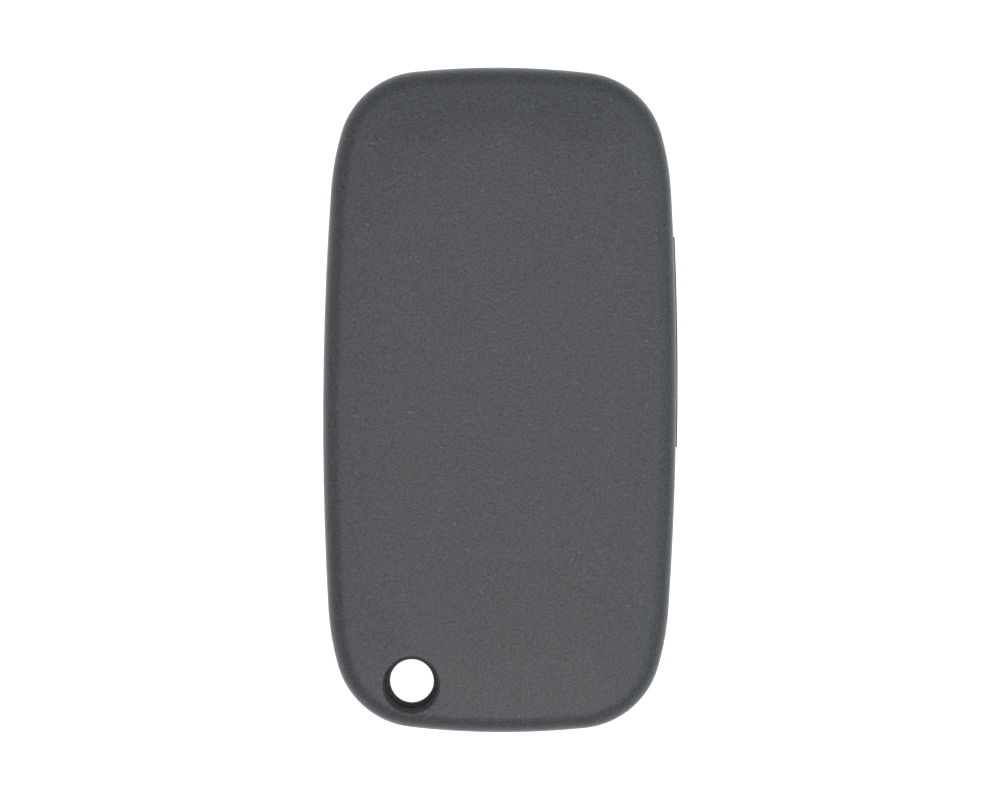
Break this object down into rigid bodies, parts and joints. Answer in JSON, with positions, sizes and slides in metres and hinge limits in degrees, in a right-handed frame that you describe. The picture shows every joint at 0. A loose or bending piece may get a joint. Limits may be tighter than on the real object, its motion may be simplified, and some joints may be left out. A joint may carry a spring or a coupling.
{
  "type": "flip key remote",
  "caption": "Rounded flip key remote: plain grained back, key ring hole in one corner, blade folded in a side slot, round release button and a column of keys in front.",
  "frame": {"origin": "on the button face's plane, under the middle of the bounding box", "axes": "+Y along the fob towards the end where the blade turns, +Z from the button face out through the plain back, +X towards the side with the blade slot"},
  "size_m": [0.0391, 0.0733, 0.014],
  "materials": {
    "shell_plastic": "fine spark-eroded grain",
    "carrier_plastic": "glass-filled, lightly polished",
    "blade_steel": "milled, nickel plated",
    "pin_steel": "ground",
    "release_chrome": "bright plated",
    "spring_steel": "drawn",
    "silicone": "moulded, dull",
    "board_laminate": "lacquered",
    "cell_steel": "drawn",
    "contact_steel": "nickel plated strip",
    "chip_epoxy": "moulded",
    "ferrite": "fired",
    "copper": "lacquered wire",
    "crystal_steel": "drawn",
    "ceramic": "fired",
    "button_rubber": "moulded, dull",
    "switch_plastic": "moulded",
    "switch_steel": "stamped",
    "plunger_plastic": "moulded"
  },
  "bodies": {
    "housing": {"back_cover": "shell_plastic", "front_housing": "shell_plastic", "keypad_mat": "silicone", "circuit_board": "board_laminate", "battery_cell": "cell_steel", "battery_positive_contact": "contact_steel", "battery_negative_contact": "contact_steel", "remote_chip": "chip_epoxy", "transponder_core": "ferrite", "transponder_winding": "copper", "crystal_can": "crystal_steel", "small_board_parts": "ceramic", "lock_switch_base": "switch_plastic", "lock_switch_plate": "switch_steel", "unlock_switch_base": "switch_plastic", "unlock_switch_plate": "switch_steel", "boot_switch_base": "switch_plastic", "boot_switch_plate": "switch_steel"},
    "blade": {"blade_carrier": "carrier_plastic", "key_blade": "blade_steel", "blade_pin": "pin_steel", "flip_spring": "spring_steel"},
    "release": {"release_button": "release_chrome"},
    "lock_key": {"lock_button": "button_rubber", "lock_plunger": "plunger_plastic"},
    "unlock_key": {"unlock_button": "button_rubber", "unlock_plunger": "plunger_plastic"},
    "boot_key": {"boot_button": "button_rubber", "boot_plunger": "plunger_plastic"}
  },
  "joints": [
    {"name": "blade_flip", "type": "hinge", "parent": "housing", "child": "blade", "pos_m": [0.00859, 0.02667, 0.0069], "axis": [0, 0, 1], "range_deg": [0, 180]},
    {"name": "release_push", "type": "slide", "parent": "blade", "child": "release", "axis": [0, 0, 1], "range_m": [0, 0.0015], "stiffness_N_per_m": 2000, "springref_m": -0.001, "deforming": ["flip_spring"]},
    {"name": "lock_press", "type": "slide", "parent": "housing", "child": "lock_key", "axis": [0, 0, 1], "range_m": [0, 0.0003], "stiffness_N_per_m": 5000, "springref_m": -0.0002, "deforming": ["keypad_mat"]},
    {"name": "unlock_press", "type": "slide", "parent": "housing", "child": "unlock_key", "axis": [0, 0, 1], "range_m": [0, 0.0003], "stiffness_N_per_m": 5000, "springref_m": -0.0002, "deforming": ["keypad_mat"]},
    {"name": "boot_press", "type": "slide", "parent": "housing", "child": "boot_key", "axis": [0, 0, 1], "range_m": [0, 0.0003], "stiffness_N_per_m": 5000, "springref_m": -0.0002, "deforming": ["keypad_mat"]}
  ]
}
